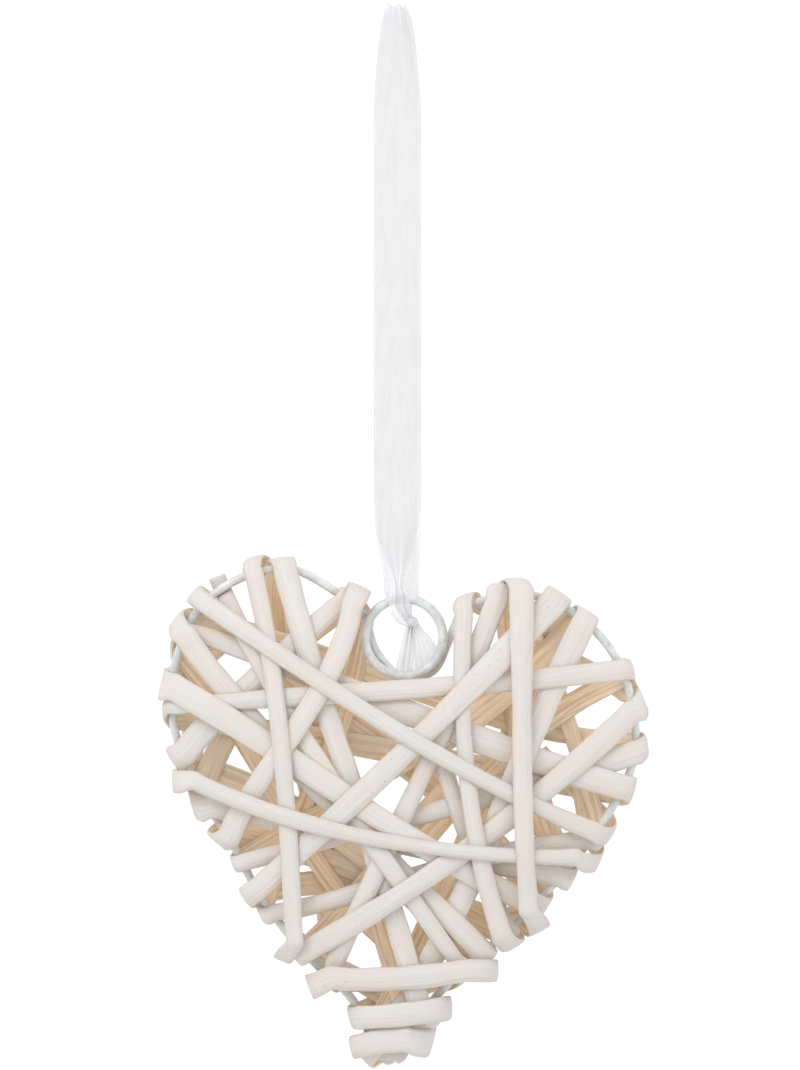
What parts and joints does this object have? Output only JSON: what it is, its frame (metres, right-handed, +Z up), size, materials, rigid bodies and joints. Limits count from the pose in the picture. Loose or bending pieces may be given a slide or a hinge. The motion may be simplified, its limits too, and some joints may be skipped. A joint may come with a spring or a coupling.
{
  "type": "hanging wicker heart",
  "caption": "Hollow plump heart of whitewashed split willow woven on a wire, with a small ring and a sheer ribbon hanging loop.",
  "frame": {"origin": "top of the ribbon's hanging loop, where the part is held", "axes": "+Z up, -Y towards the viewer's side of the heart, +X to the viewer's right"},
  "size_m": [0.1018, 0.024, 0.221],
  "materials": {
    "painted_wire": "whitened satin paint",
    "willow": "whitewashed outside, bare inside",
    "sheer_ribbon": "sheer organza"
  },
  "bodies": {
    "root": {"frame_wire": "painted_wire", "ring": "painted_wire", "willow_strip_1": "willow", "willow_strip_2": "willow", "willow_strip_3": "willow", "willow_strip_4": "willow", "willow_strip_5": "willow", "willow_strip_6": "willow", "willow_strip_7": "willow", "willow_strip_8": "willow", "willow_strip_9": "willow", "ribbon": "sheer_ribbon"}
  },
  "joints": []
}
